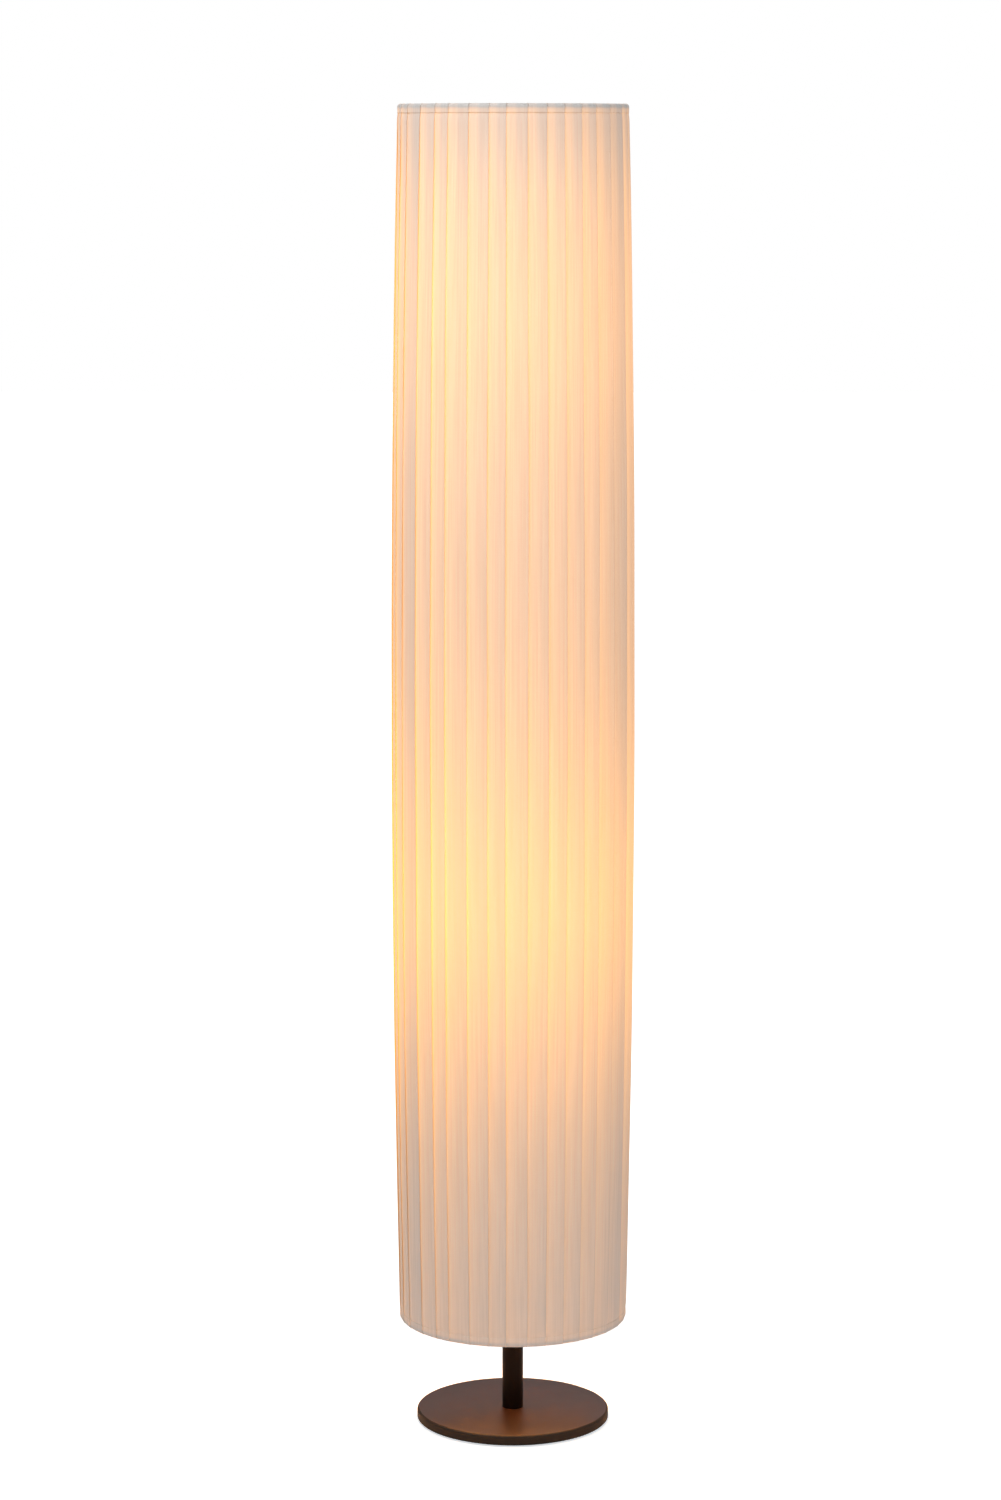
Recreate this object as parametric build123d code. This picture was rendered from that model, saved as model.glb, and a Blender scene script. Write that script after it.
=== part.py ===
from build123d import *
from math import cos, degrees, radians, sin, sqrt
import os

# Tall floor lamp: round steel foot, screwed tube stem with two bulb holders on brackets,
# and a knife-pleated barrel shade on a wire frame that hangs from the top of the stem.
# Millimetres and degrees. Z is up from the floor, and -Y is the front.

# ---- Overall ----
total_height = 1200.0  # floor to the rim of the shade

# ---- Foot ----
base_diameter = 175.0
plate_thickness = 8.8
plate_top_round = 2.0
plate_bottom_chamfer = 0.8
plate_web = 4.0  # steel left above the nut recess
pad_thickness = 1.5
pad_inset = 5.0  # pad edge inside the plate edge

# ---- Stem ----
stem_diameter = 19.0
stem_wall = 1.5
plug_length = 12.0
plug_rim = 1.2  # countersink at each plug's outer end
lower_bulb_height = 482.0  # floor to the middle of the globe
upper_bulb_height = 1030.0

# ---- Hollow threaded nipples with their nuts and washers ----
nipple_diameter = 9.8
nipple_bore = 7.0
nipple_engagement = 10.0
nut_across_flats = 14.0
nut_thickness = 3.2
washer_diameter = 20.0
washer_thickness = 1.2
recess_diameter = 28.0  # room for a socket spanner under the foot

# ---- Brackets ----
bracket_thickness = 2.5
bracket_reach = 46.0  # stem axis to bulb axis
bracket_margin = 3.5  # plate edge outside the stem

# ---- Inner leads and their grommets ----
lead_diameter = 3.0
lead_spacing = 3.4
lead_bend = 6.0
lead_sweep = 16.0
lead_start = 22.0  # first point above the cord inlet
port_drop = 30.0  # lead port below the bracket
port_neck_diameter = 7.2
port_flange_diameter = 10.4
inlet_height = 24.0  # cord inlet above the foot
inlet_bore = 6.6
inlet_neck_diameter = 9.2
inlet_flange_diameter = 12.4
flange_thickness = 1.3

# ---- Bulb holders ----
holder_diameter = 38.0
holder_wall = 2.0
holder_cap_height = 20.0
holder_cap_foot = 24.0  # diameter where the cap stands on the bracket
holder_shoulder = 12.0  # height where the cap reaches its full width
holder_edge = 1.0  # broken edges of the cap and the shell
holder_shell_height = 33.0
holder_lip = 1.5
boss_diameter = 16.0
boss_height = 8.0
block_height = 16.0
block_diameter = 26.0
tab_height = 5.4
tab_width = 6.0
tab_thickness = 0.5
socket_wall = 0.5
socket_height = 25.0
socket_floor_hole = 16.0

# ---- Bulbs ----
globe_diameter = 60.0
bulb_length = 106.0
bulb_cap_diameter = 26.2
bulb_cap_length = 22.0
bulb_cap_wall = 0.8
bulb_collar = 1.0  # rolled edge at the top of the cap
bulb_insulator_height = 5.0
bulb_insulator_foot = 15.3
bulb_contact_diameter = 9.6
bulb_contact_height = 1.6
bulb_contact_foot = 6.7
bulb_contact_bevel = 1.0
glass_wall = 1.0
glass_neck_diameter = 29.0
glass_tuck = 5.0  # neck inside the cap
globe_join = 40.0  # angle below the globe's middle where the neck's curve meets it

# ---- Shade ----
shade_height = 1104.0
rim_diameter = 207.0
shade_bulge = 6.6  # gain in radius at mid height
panel_count = 3
pleats_per_panel = 11
seam_pitch = 12.86  # angle of the wide pleat over each seam
seam_angle = -28.25  # first seam pleat, middle
pleat_step = 1.2
pleat_fold = 0.45  # inner fold, as a share of the pleat
cloth_thickness = 0.6
barrel_levels = 9
hem_leg = 5.5  # outer leg of the binding past the ring's middle
hem_wrap = 112.5  # angle that the binding wraps round the ring
hem_spans = 5  # flat spans of the binding round the ring

# ---- Shade frame ----
ring_wire = 4.0
strut_wire = 2.5
strut_spans = 8  # straight spans of each bowed upright
arm_wire = 4.0
spider_drop = 22.0  # hub seat below the rim
hub_diameter = 34.0
hub_thickness = 5.6
arm_socket_depth = 5.0
arm_run = 70.0  # radius where the arms turn up
arm_bend = 14.0

# ---- Top nut ----
top_nut_diameter = 18.0
top_nut_height = 11.0
top_nut_roof = 2.5
knurl_count = 18
knurl_radius = 0.9
knurl_depth = 0.5
top_nut_bevel = 1.0

# ---- Clearances ----
thread_clearance = 0.08  # radial, threads and turned fits
hole_clearance = 0.3  # radial, bolt and nipple holes
press_clearance = 0.02  # radial, plugs in tubes
seat_gap = 0.1  # between faces of pieces that come apart
cloth_clearance = 0.3
wire_clearance = 0.05
bulb_clearance = 0.35  # radial, bulb cap in its socket

# ---- Derived ----
base_radius = base_diameter / 2
base_top = pad_thickness + plate_thickness
recess_ceiling = base_top - plate_web
recess_radius = recess_diameter / 2
stem_radius = stem_diameter / 2
stem_inner = stem_radius - stem_wall
nipple_radius = nipple_diameter / 2
bore_radius = nipple_bore / 2
thread_radius = nipple_radius + thread_clearance
hole_radius = nipple_radius + hole_clearance
lead_radius = lead_diameter / 2

tab_top = boss_height + block_height + tab_height
holder_floor = tab_top + seat_gap  # bracket top to the bulb's contact
globe_radius = globe_diameter / 2
bulb_rise = holder_floor + bulb_length - globe_radius
lower_bracket_top = lower_bulb_height - bulb_rise
upper_bracket_top = upper_bulb_height - bulb_rise
lower_bracket_bottom = lower_bracket_top - bracket_thickness
upper_bracket_bottom = upper_bracket_top - bracket_thickness
hub_seat = total_height - spider_drop
stem_top = hub_seat - seat_gap
inlet_z = base_top + inlet_height

rim_radius = rim_diameter / 2
ring_radius = ring_wire / 2
strut_radius = strut_wire / 2
arm_radius = arm_wire / 2
shade_bottom = total_height - shade_height
ring_track = rim_radius - cloth_thickness - cloth_clearance - ring_radius
ring_inset = cloth_thickness + cloth_clearance + ring_radius
top_ring_z = total_height - ring_inset
bottom_ring_z = shade_bottom + ring_inset
panel_top = top_ring_z - hem_leg - cloth_clearance
panel_bottom = bottom_ring_z + hem_leg + cloth_clearance
panel_angle = 360.0 / panel_count
pleat_pitch = (panel_angle - seam_pitch) / pleats_per_panel
fold_depth = (2 - pleat_fold) * pleat_step + cloth_thickness
strut_inset = fold_depth + cloth_clearance + strut_radius
hub_radius = hub_diameter / 2
hub_middle = hub_seat + hub_thickness / 2
washer_bottom = hub_seat + hub_thickness
top_nut_bottom = washer_bottom + washer_thickness + seat_gap
top_nut_radius = top_nut_diameter / 2


def tube(outer, inner, bottom, top, x=0.0, y=0.0):
    """Upright round tube between two heights."""
    height = top - bottom
    wall = Cylinder(outer, height) - Cylinder(inner, height)
    return Pos(x, y, (bottom + top) / 2) * wall


def turned(*points):
    """Solid turned about Z from a closed outline of radius and height."""
    outline = Polyline(*[(r, 0, z) for r, z in points], close=True)
    return revolve(make_face(outline), Axis.Z)


def save(node, *solids):
    """Writes one node, a single solid or a group of separate ones."""
    shape = solids[0] if len(solids) == 1 else Compound(children=list(solids))
    export_step(shape, "parts/" + node + ".step")


# ---- Foot ----
def make_base_plate():
    """Steel disc, rounded at the top edge, with the nut recess underneath."""
    plate = Pos(0, 0, pad_thickness + plate_thickness / 2) * Cylinder(base_radius, plate_thickness)
    rims = plate.edges().filter_by(GeomType.CIRCLE).sort_by(Axis.Z)
    plate = fillet(rims[-1], plate_top_round)
    rims = plate.edges().filter_by(GeomType.CIRCLE).sort_by(Axis.Z)
    plate = chamfer(rims[0], plate_bottom_chamfer)
    recess_depth = recess_ceiling - pad_thickness
    recess = Pos(0, 0, pad_thickness + recess_depth / 2) * Cylinder(recess_radius, recess_depth)
    hole = Pos(0, 0, base_top - plate_web / 2) * Cylinder(hole_radius, plate_web)
    return plate - recess - hole


def make_base_pad():
    """Soft ring under the foot, open round the nut recess."""
    return tube(base_radius - pad_inset, recess_radius, 0, pad_thickness)


def make_washer(bottom):
    return tube(washer_diameter / 2, hole_radius, bottom, bottom + washer_thickness)


def make_nut(bottom, y=0.0):
    """Hexagon nut with its tapped bore."""
    hexagon = RegularPolygon(nut_across_flats / 2, 6, major_radius=False)
    blank = extrude(hexagon, nut_thickness) - extrude(Circle(thread_radius), nut_thickness)
    return Pos(0, y, bottom) * blank


def make_nipple(bottom, top, y=0.0):
    return tube(nipple_radius, bore_radius, bottom, top, 0, y)


# ---- Stem ----
def side_hole(radius, height, side):
    """Round cutter through one wall of the stem, to the front (-1) or the rear (1)."""
    return Pos(0, side * stem_radius, height) * Rot(90, 0, 0) * Cylinder(radius, stem_radius)


def make_stem_tube(bottom, top, holes=()):
    body = tube(stem_radius, stem_inner, bottom, top)
    for radius, height, side in holes:
        body -= side_hole(radius, height, side)
    return body


def make_plug(end, side):
    """Threaded plug pressed into a tube end; side is 1 if it goes up from the end."""
    outer = stem_inner - press_clearance
    rim = thread_radius + plug_rim
    deep = end + side * plug_length
    return turned(
        (rim, end),
        (outer, end),
        (outer, deep),
        (thread_radius, deep),
        (thread_radius, end + side * plug_rim),
    )


def make_grommet(bore, neck, flange, height, side):
    """Rubber bush through the stem's wall, with a flange that lies on the tube."""
    reach = stem_radius + flange_thickness
    neck_length = reach - stem_inner
    body = Pos(0, side * (reach - neck_length / 2)) * Rot(90, 0, 0) * Cylinder(neck, neck_length)
    head = Pos(0, side * reach / 2) * Rot(90, 0, 0) * Cylinder(flange, reach)
    head -= Cylinder(stem_radius + wire_clearance, 2 * stem_diameter)
    hole = Pos(0, side * reach) * Rot(90, 0, 0) * Cylinder(bore, stem_diameter)
    return Pos(0, 0, height) * (body + head - hole)


# ---- Brackets, holders and leads ----
def make_bracket(bottom):
    """Flat plate with round ends, clamped between two tubes, with a hole for the holder."""
    width = stem_diameter + 2 * bracket_margin
    outline = Pos(0, -bracket_reach / 2) * Rot(0, 0, 90) * SlotCenterToCenter(bracket_reach, width)
    holes = Circle(hole_radius) + Pos(0, -bracket_reach) * Circle(hole_radius)
    return Pos(0, 0, bottom) * extrude(outline - holes, bracket_thickness)


def make_holder_cap():
    """Lower half of a holder: a turned cup that widens from its foot, with a threaded boss."""
    outer = holder_diameter / 2
    foot = holder_cap_foot / 2
    inner = outer - holder_wall
    return turned(
        (thread_radius, 0),
        (foot, 0),
        (outer - holder_edge, holder_shoulder - holder_edge),
        (outer, holder_shoulder + holder_edge),
        (outer, holder_cap_height),
        (inner, holder_cap_height),
        (inner, holder_shoulder + holder_edge),
        (foot - holder_edge, holder_wall),
        (boss_diameter / 2, holder_wall),
        (boss_diameter / 2, boss_height),
        (thread_radius, boss_height),
    )


def make_holder_shell():
    """Upper half of a holder: a skirt round the socket, turned in at its rim."""
    outer = holder_diameter / 2
    inner = outer - holder_wall
    bottom = holder_cap_height + wire_clearance
    top = bottom + holder_shell_height
    return turned(
        (inner, bottom),
        (outer, bottom),
        (outer, top - holder_edge),
        (outer - holder_edge, top),
        (inner - holder_lip, top),
        (inner - holder_lip, top - holder_lip),
        (inner, top - 2 * holder_lip),
    )


def make_contact_block():
    """Insulating puck on the cap's boss that carries the socket and the contact."""
    bottom = boss_height
    return Pos(0, 0, bottom + block_height / 2) * Cylinder(block_diameter / 2, block_height)


def make_socket():
    """Metal screw socket, a cup with a hole in its floor for the contact."""
    inner = bulb_cap_diameter / 2 + bulb_clearance
    outer = inner + socket_wall
    bottom = boss_height + block_height
    return turned(
        (socket_floor_hole / 2, bottom),
        (outer, bottom),
        (outer, bottom + socket_height),
        (inner, bottom + socket_height),
        (inner, bottom + socket_wall),
        (socket_floor_hole / 2, bottom + socket_wall),
    )


def make_contact_tab():
    """Spring strip that rises from the block to the bulb's contact."""
    foot = boss_height + block_height
    top = foot + tab_height
    inside = tab_width - tab_thickness
    outline = Polyline(
        (-tab_width, foot),
        (tab_width, foot),
        (tab_width, top),
        (-tab_width / 2, top),
        (-tab_width / 2, top - tab_thickness),
        (inside, top - tab_thickness),
        (inside, foot + tab_thickness),
        (-tab_width, foot + tab_thickness),
        close=True,
    )
    return extrude(make_face(Plane.XZ * outline), tab_width / 2, both=True)


def make_lead(y, bracket_bottom):
    """Two-core lead up the stem, out at the port and up into the holder's nipple."""
    port = bracket_bottom - port_drop
    end = bracket_bottom + bracket_thickness + boss_height - seat_gap
    route = [
        (0, y, inlet_z + lead_start),
        (0, y, port),
        (0, -bracket_reach, port),
        (0, -bracket_reach, end),
    ]
    path = FilletPolyline(*route, radius=[lead_bend, lead_sweep])
    section = Plane(route[0], z_dir=(0, 0, 1)) * Circle(lead_radius)
    return sweep(section, path)


# ---- Bulbs, with the contact's lower face at height 0 ----
def globe_outline(inset):
    """Half outline of the glass, drawn inside its outer surface by the inset."""
    middle = bulb_length - globe_radius
    cap_top = bulb_contact_height + bulb_insulator_height + bulb_cap_length
    neck = glass_neck_diameter / 2 - inset
    tuck = bulb_cap_diameter / 2 - bulb_cap_wall - wire_clearance - inset
    radius = globe_radius - inset
    join = radians(globe_join)
    step = cap_top + wire_clearance + inset
    lower = cap_top - glass_tuck - inset
    touch = (radius * cos(join), 0, middle - radius * sin(join))
    flare = (touch[0] - neck) / (1 - cos(join))
    bend = (neck, 0, touch[2] - flare * sin(join))
    waist = ThreePointArc(
        bend,
        (neck + flare * (1 - cos(join / 2)), 0, bend[2] + flare * sin(join / 2)),
        touch,
    )
    top = (0, 0, middle + radius)
    belly = ThreePointArc(touch, (radius, 0, middle), top)
    closing = Polyline(top, (0, 0, lower), (tuck, 0, lower), (tuck, 0, step), (neck, 0, step), bend)
    return make_face(waist + belly + closing)


def make_globe():
    """Opal glass blown in one piece, open at the neck inside its cap."""
    return revolve(globe_outline(0), Axis.Z) - revolve(globe_outline(glass_wall), Axis.Z)


def make_bulb_cap():
    outer = bulb_cap_diameter / 2
    inner = outer - bulb_cap_wall
    bottom = bulb_contact_height + bulb_insulator_height
    top = bottom + bulb_cap_length
    return turned(
        (inner - bulb_collar, bottom),
        (outer - bulb_cap_wall, bottom),
        (outer, bottom + bulb_cap_wall),
        (outer, top - 2 * bulb_collar),
        (outer + bulb_collar / 2, top - bulb_collar),
        (outer, top),
        (inner, top),
        (inner, bottom + bulb_cap_wall),
        (inner - bulb_collar, bottom + bulb_cap_wall),
    )


def make_bulb_insulator():
    outer = bulb_cap_diameter / 2 - bulb_cap_wall
    bottom = bulb_contact_height
    top = bottom + bulb_insulator_height
    return turned((0, bottom), (bulb_insulator_foot / 2, bottom), (outer, top), (0, top))


def make_bulb_contact():
    radius = bulb_contact_diameter / 2
    top = bulb_contact_height
    return turned((0, 0), (bulb_contact_foot / 2, 0), (radius, bulb_contact_bevel), (radius, top), (0, top))


# ---- Shade ----
def barrel_radius(height):
    """Outermost radius of the pleats: a shallow arc from rim to rim."""
    share = (height - shade_bottom) / shade_height
    return rim_radius + shade_bulge * (1 - (2 * share - 1) ** 2)


def polar(radius, angle):
    return (radius * cos(radians(angle)), radius * sin(radians(angle)))


def pleat_edges(start):
    """Angles of the fold edges of one panel: the wide seam pleat first, then the even ones."""
    edges = [start, start + seam_pitch]
    for _ in range(pleats_per_panel):
        edges.append(edges[-1] + pleat_pitch)
    return edges


def panel_section(start):
    """Section of one pleated panel at the rim's radius.

    Each pleat comes out from under the one before, rises by the step and folds back under
    itself, so the wall is one cloth thick up to the inner fold and three from there on."""
    edges = pleat_edges(start)
    edges[-1] -= degrees(cloth_clearance / rim_radius)
    low = rim_radius - pleat_step
    outer = []
    inner = []
    for left, right in zip(edges[:-1], edges[1:]):
        fold = left + pleat_fold * (right - left)
        outer.append(polar(low, left))
        outer.append(polar(low + pleat_fold * pleat_step, fold))
        outer.append(polar(rim_radius, right))
        inner.append(polar(low - cloth_thickness, left))
        inner.append(polar(low + pleat_fold * pleat_step - cloth_thickness, fold))
        inner.append(polar(rim_radius - fold_depth, fold))
    inner.append(polar(low - cloth_thickness, edges[-1]))
    return make_face(Polyline(*outer, *reversed(inner), close=True))


def make_panel(start):
    """One pleated panel, lofted through its section scaled to the barrel at even heights."""
    section = panel_section(start)
    rise = (panel_top - panel_bottom) / (barrel_levels - 1)
    levels = []
    for level in range(barrel_levels):
        height = panel_bottom + level * rise
        scaled = scale(section, barrel_radius(height) / rim_radius)
        levels.append(Pos(0, 0, height) * scaled)
    return loft(levels, ruled=True)


def make_ring(height):
    """Round wire ring inside one hem."""
    return Pos(0, 0, height) * Torus(ring_track, ring_radius)


def make_hem(ring_z, side):
    """Binding over one ring: round its outer half and on as a short leg; side is 1 at the top."""
    inner = ring_radius + cloth_clearance
    outer = inner + cloth_thickness
    leg = ring_z - side * hem_leg
    turns = [radians(hem_wrap) * span / hem_spans for span in range(hem_spans + 1)]
    outside = [(ring_track + outer * cos(turn), ring_z + side * outer * sin(turn)) for turn in turns]
    inside = [(ring_track + inner * cos(turn), ring_z + side * inner * sin(turn)) for turn in turns]
    foot = [(ring_track + inner, leg), (ring_track + outer, leg)]
    return turned(*outside, *reversed(inside), *foot)


def make_strut(angle):
    """Bowed upright behind a seam, butted on the lower and the upper ring."""
    bottom = bottom_ring_z + ring_radius + wire_clearance
    top = top_ring_z - ring_radius - wire_clearance
    levels = []
    for span in range(strut_spans + 1):
        height = bottom + (top - bottom) * span / strut_spans
        levels.append(Pos(barrel_radius(height) - strut_inset, 0, height) * Circle(strut_radius))
    return Rot(0, 0, angle) * loft(levels, ruled=True)


def make_arm(angle):
    """Spider arm: level from its socket in the hub, then up to butt on the top ring."""
    start = hub_radius - arm_socket_depth
    run = ring_track - arm_run
    rise = top_ring_z - hub_middle
    short = (ring_radius + wire_clearance) / sqrt(run**2 + rise**2)
    end = (ring_track - run * short, 0, top_ring_z - rise * short)
    path = FilletPolyline((start, 0, hub_middle), (arm_run, 0, hub_middle), end, radius=arm_bend)
    section = Plane((start, 0, hub_middle), z_dir=(1, 0, 0)) * Circle(arm_radius)
    return Rot(0, 0, angle) * sweep(section, path)


def make_hub():
    """Disc with the nipple's hole and three sockets for the arms."""
    disc = tube(hub_radius, hole_radius, hub_seat, washer_bottom)
    depth = arm_socket_depth + wire_clearance
    bore = Rot(0, 90, 0) * Cylinder(arm_radius + wire_clearance, 2 * depth)
    bore = Pos(hub_radius, 0, hub_middle) * bore
    for angle in arm_angles:
        disc -= Rot(0, 0, angle) * bore
    return disc


def make_top_nut():
    """Closed thumb nut with a grooved edge."""
    blank = Pos(0, 0, top_nut_height / 2) * Cylinder(top_nut_radius, top_nut_height)
    rims = blank.edges().filter_by(GeomType.CIRCLE).sort_by(Axis.Z)
    blank = chamfer(rims[-1], top_nut_bevel)
    depth = top_nut_height - top_nut_roof
    blank -= Pos(0, 0, depth / 2) * Cylinder(thread_radius, depth)
    groove_track = top_nut_radius + knurl_radius - knurl_depth
    groove = Cylinder(knurl_radius, 2 * top_nut_height)
    for turn in range(knurl_count):
        place = polar(groove_track, 360.0 / knurl_count * turn)
        blank -= Pos(*place, top_nut_height / 2) * groove
    return Pos(0, 0, top_nut_bottom) * blank


seam_angles = [seam_angle + turn * panel_angle for turn in range(panel_count)]
arm_angles = [angle + panel_angle / 2 for angle in seam_angles]
panel_names = ["right", "rear", "left"]

os.makedirs("parts", exist_ok=True)

# Foot
save("base_plate", make_base_plate())
save("base_pad", make_base_pad())
base_washer_bottom = recess_ceiling - washer_thickness
base_nut_bottom = base_washer_bottom - nut_thickness
save("base_washer", make_washer(base_washer_bottom))
save("base_nut", make_nut(base_nut_bottom))
save("base_nipple", make_nipple(base_nut_bottom, base_top + nipple_engagement))

# Stem
port_hole = port_neck_diameter / 2 + wire_clearance
inlet_hole = inlet_neck_diameter / 2 + wire_clearance
lower_port = lower_bracket_bottom - port_drop
upper_port = upper_bracket_bottom - port_drop
lower_holes = [(port_hole, lower_port, -1), (inlet_hole, inlet_z, 1)]
save("stem_lower_tube", make_stem_tube(base_top, lower_bracket_bottom, lower_holes))
middle_holes = [(port_hole, upper_port, -1)]
save("stem_middle_tube", make_stem_tube(lower_bracket_top, upper_bracket_bottom, middle_holes))
save("stem_upper_tube", make_stem_tube(upper_bracket_top, stem_top))
plug_ends = [
    (base_top, 1),
    (lower_bracket_bottom, -1),
    (lower_bracket_top, 1),
    (upper_bracket_bottom, -1),
    (upper_bracket_top, 1),
    (stem_top, -1),
]
save("stem_plugs", *[make_plug(end, side) for end, side in plug_ends])
bracket_levels = [(lower_bracket_bottom, lower_bracket_top), (upper_bracket_bottom, upper_bracket_top)]
save(
    "stem_nipples",
    *[make_nipple(bottom - nipple_engagement, top + nipple_engagement) for bottom, top in bracket_levels],
)
top_nipple_end = top_nut_bottom + top_nut_height - top_nut_roof - seat_gap
save("top_nipple", make_nipple(stem_top - nipple_engagement, top_nipple_end))
inlet_neck = inlet_neck_diameter / 2
inlet_flange = inlet_flange_diameter / 2
save("cord_inlet", make_grommet(inlet_bore / 2, inlet_neck, inlet_flange, inlet_z, 1))

# Brackets and holders
port_bore = lead_radius + wire_clearance
ports = [
    make_grommet(port_bore, port_neck_diameter / 2, port_flange_diameter / 2, height, -1)
    for height in (lower_port, upper_port)
]
save("lead_grommets", *ports)
holder_nut_bottoms = [bottom - nut_thickness for bottom, _ in bracket_levels]
save("holder_nuts", *[make_nut(bottom, -bracket_reach) for bottom in holder_nut_bottoms])
save(
    "holder_nipples",
    *[
        make_nipple(bottom, top + boss_height - seat_gap, -bracket_reach)
        for bottom, (_, top) in zip(holder_nut_bottoms, bracket_levels)
    ],
)
lead_places = (-lead_spacing / 2, lead_spacing / 2)
for name, lead_y, (bottom, top) in zip(("lower", "upper"), lead_places, bracket_levels):
    on_bracket = Pos(0, -bracket_reach, top)
    in_holder = Pos(0, -bracket_reach, top + holder_floor)
    save(name + "_bracket", make_bracket(bottom))
    save(name + "_lead", make_lead(lead_y, bottom))
    save(name + "_holder_cap", on_bracket * make_holder_cap())
    save(name + "_holder_shell", on_bracket * make_holder_shell())
    save(name + "_holder_block", on_bracket * make_contact_block())
    save(name + "_holder_socket", on_bracket * make_socket())
    save(name + "_holder_contact", on_bracket * make_contact_tab())
    save(name + "_bulb_globe", in_holder * make_globe())
    save(name + "_bulb_cap", in_holder * make_bulb_cap())
    save(name + "_bulb_insulator", in_holder * make_bulb_insulator())
    save(name + "_bulb_contact", in_holder * make_bulb_contact())

# Shade
save("shade_top_ring", make_ring(top_ring_z))
save("shade_bottom_ring", make_ring(bottom_ring_z))
save("shade_struts", *[make_strut(angle) for angle in seam_angles])
save("spider_hub", make_hub())
save("spider_arms", *[make_arm(angle) for angle in arm_angles])
for name, angle in zip(panel_names, seam_angles):
    save("shade_panel_" + name, make_panel(angle - seam_pitch / 2))
save("shade_top_hem", make_hem(top_ring_z, 1))
save("shade_bottom_hem", make_hem(bottom_ring_z, -1))

# Top nut
save("top_washer", make_washer(washer_bottom))
save("top_nut", make_top_nut())
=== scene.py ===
import bpy
import math
import numpy as np
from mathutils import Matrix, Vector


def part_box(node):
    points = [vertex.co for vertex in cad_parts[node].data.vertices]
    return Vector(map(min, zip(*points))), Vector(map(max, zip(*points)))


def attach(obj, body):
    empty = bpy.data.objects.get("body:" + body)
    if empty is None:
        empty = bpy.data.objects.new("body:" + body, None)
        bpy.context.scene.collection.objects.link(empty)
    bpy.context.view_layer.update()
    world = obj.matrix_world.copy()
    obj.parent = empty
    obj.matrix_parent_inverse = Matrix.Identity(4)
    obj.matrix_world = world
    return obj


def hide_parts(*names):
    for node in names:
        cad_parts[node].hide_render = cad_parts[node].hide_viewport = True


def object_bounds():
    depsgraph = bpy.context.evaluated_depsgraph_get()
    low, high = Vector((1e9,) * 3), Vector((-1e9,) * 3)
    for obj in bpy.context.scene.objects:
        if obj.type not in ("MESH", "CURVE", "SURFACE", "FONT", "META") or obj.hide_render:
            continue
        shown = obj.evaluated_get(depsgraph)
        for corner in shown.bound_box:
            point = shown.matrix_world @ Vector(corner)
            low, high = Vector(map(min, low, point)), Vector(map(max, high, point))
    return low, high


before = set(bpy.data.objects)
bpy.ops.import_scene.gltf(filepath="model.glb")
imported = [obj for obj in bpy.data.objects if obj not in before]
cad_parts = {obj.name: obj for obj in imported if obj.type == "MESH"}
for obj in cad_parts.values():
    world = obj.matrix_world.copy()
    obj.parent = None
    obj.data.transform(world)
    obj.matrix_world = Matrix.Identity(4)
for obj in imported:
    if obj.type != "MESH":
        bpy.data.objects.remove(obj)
cadLow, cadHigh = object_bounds()
print("frame loaded, %d nodes" % len(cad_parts))

mm = 0.001
scene = bpy.context.scene
scene.view_settings.view_transform = "Standard"
floorZ = cadLow.z
rimZ = cadHigh.z
hemLow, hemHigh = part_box("shade_top_hem")


# turns an sRGB hex colour into linear red, green, blue, alpha
def toLinear(hexColour):
    parts = [int(hexColour[i : i + 2], 16) / 255 for i in (0, 2, 4)]
    return [c / 12.92 if c <= 0.04045 else ((c + 0.055) / 1.055) ** 2.4 for c in parts] + [1.0]


# adds one node; a setting is an attribute, an input is a plain value or another node's socket
def addNode(tree, kind, settings=None, inputs=None):
    node = tree.nodes.new(kind)
    for name, value in (settings or {}).items():
        setattr(node, name, value)
    for key, value in (inputs or {}).items():
        if isinstance(value, bpy.types.NodeSocket):
            tree.links.new(value, node.inputs[key])
        else:
            node.inputs[key].default_value = value
    return node


# an empty material with its Principled shader already on the output
def startMaterial(name):
    material = bpy.data.materials.new(name)
    material.use_nodes = True
    tree = material.node_tree
    tree.nodes.clear()
    shader = addNode(tree, "ShaderNodeBsdfPrincipled")
    addNode(tree, "ShaderNodeOutputMaterial", inputs={"Surface": shader.outputs[0]})
    return material, tree, shader


# puts a material in every slot of these pieces
def dress(material, *pieces):
    for piece in pieces:
        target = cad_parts[piece] if isinstance(piece, str) else piece
        if not target.material_slots:
            target.data.materials.append(material)
        for place in target.material_slots:
            place.material = material


# a share eased at both ends: its square times three less twice the share
def smoothStep(share):
    return share * share * (3 - 2 * share)


# a mesh object from a grid of points, rows by columns by three, with optional UVs and point values
def gridPiece(name, points, uvs=None, values=None, closeColumns=False):
    rows, cols = points.shape[:2]
    i, j = np.meshgrid(np.arange(rows - 1), np.arange(cols if closeColumns else cols - 1), indexing="ij")
    up, right = i + 1, (j + 1) % cols
    faces = np.stack([i * cols + j, i * cols + right, up * cols + right, up * cols + j], -1).reshape(-1, 4)
    mesh = bpy.data.meshes.new(name)
    mesh.from_pydata(points.reshape(-1, 3).tolist(), [], faces.tolist())
    if uvs is not None:
        layer = mesh.uv_layers.new(name="cloth")
        layer.data.foreach_set("uv", uvs.reshape(-1, 2)[faces.ravel()].ravel())
    for key, array in (values or {}).items():
        mesh.attributes.new(key, "FLOAT", "POINT").data.foreach_set("value", array.ravel().astype(np.float32))
    mesh.polygons.foreach_set("use_smooth", np.ones(len(faces), bool))
    piece = bpy.data.objects.new(name, mesh)
    scene.collection.objects.link(piece)
    return piece


# gives a surface its thickness, inwards from the points
def addWall(piece, thickness):
    wall = piece.modifiers.new("thickness", "SOLIDIFY")
    wall.thickness = thickness
    wall.offset = -1.0
    return wall


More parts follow.
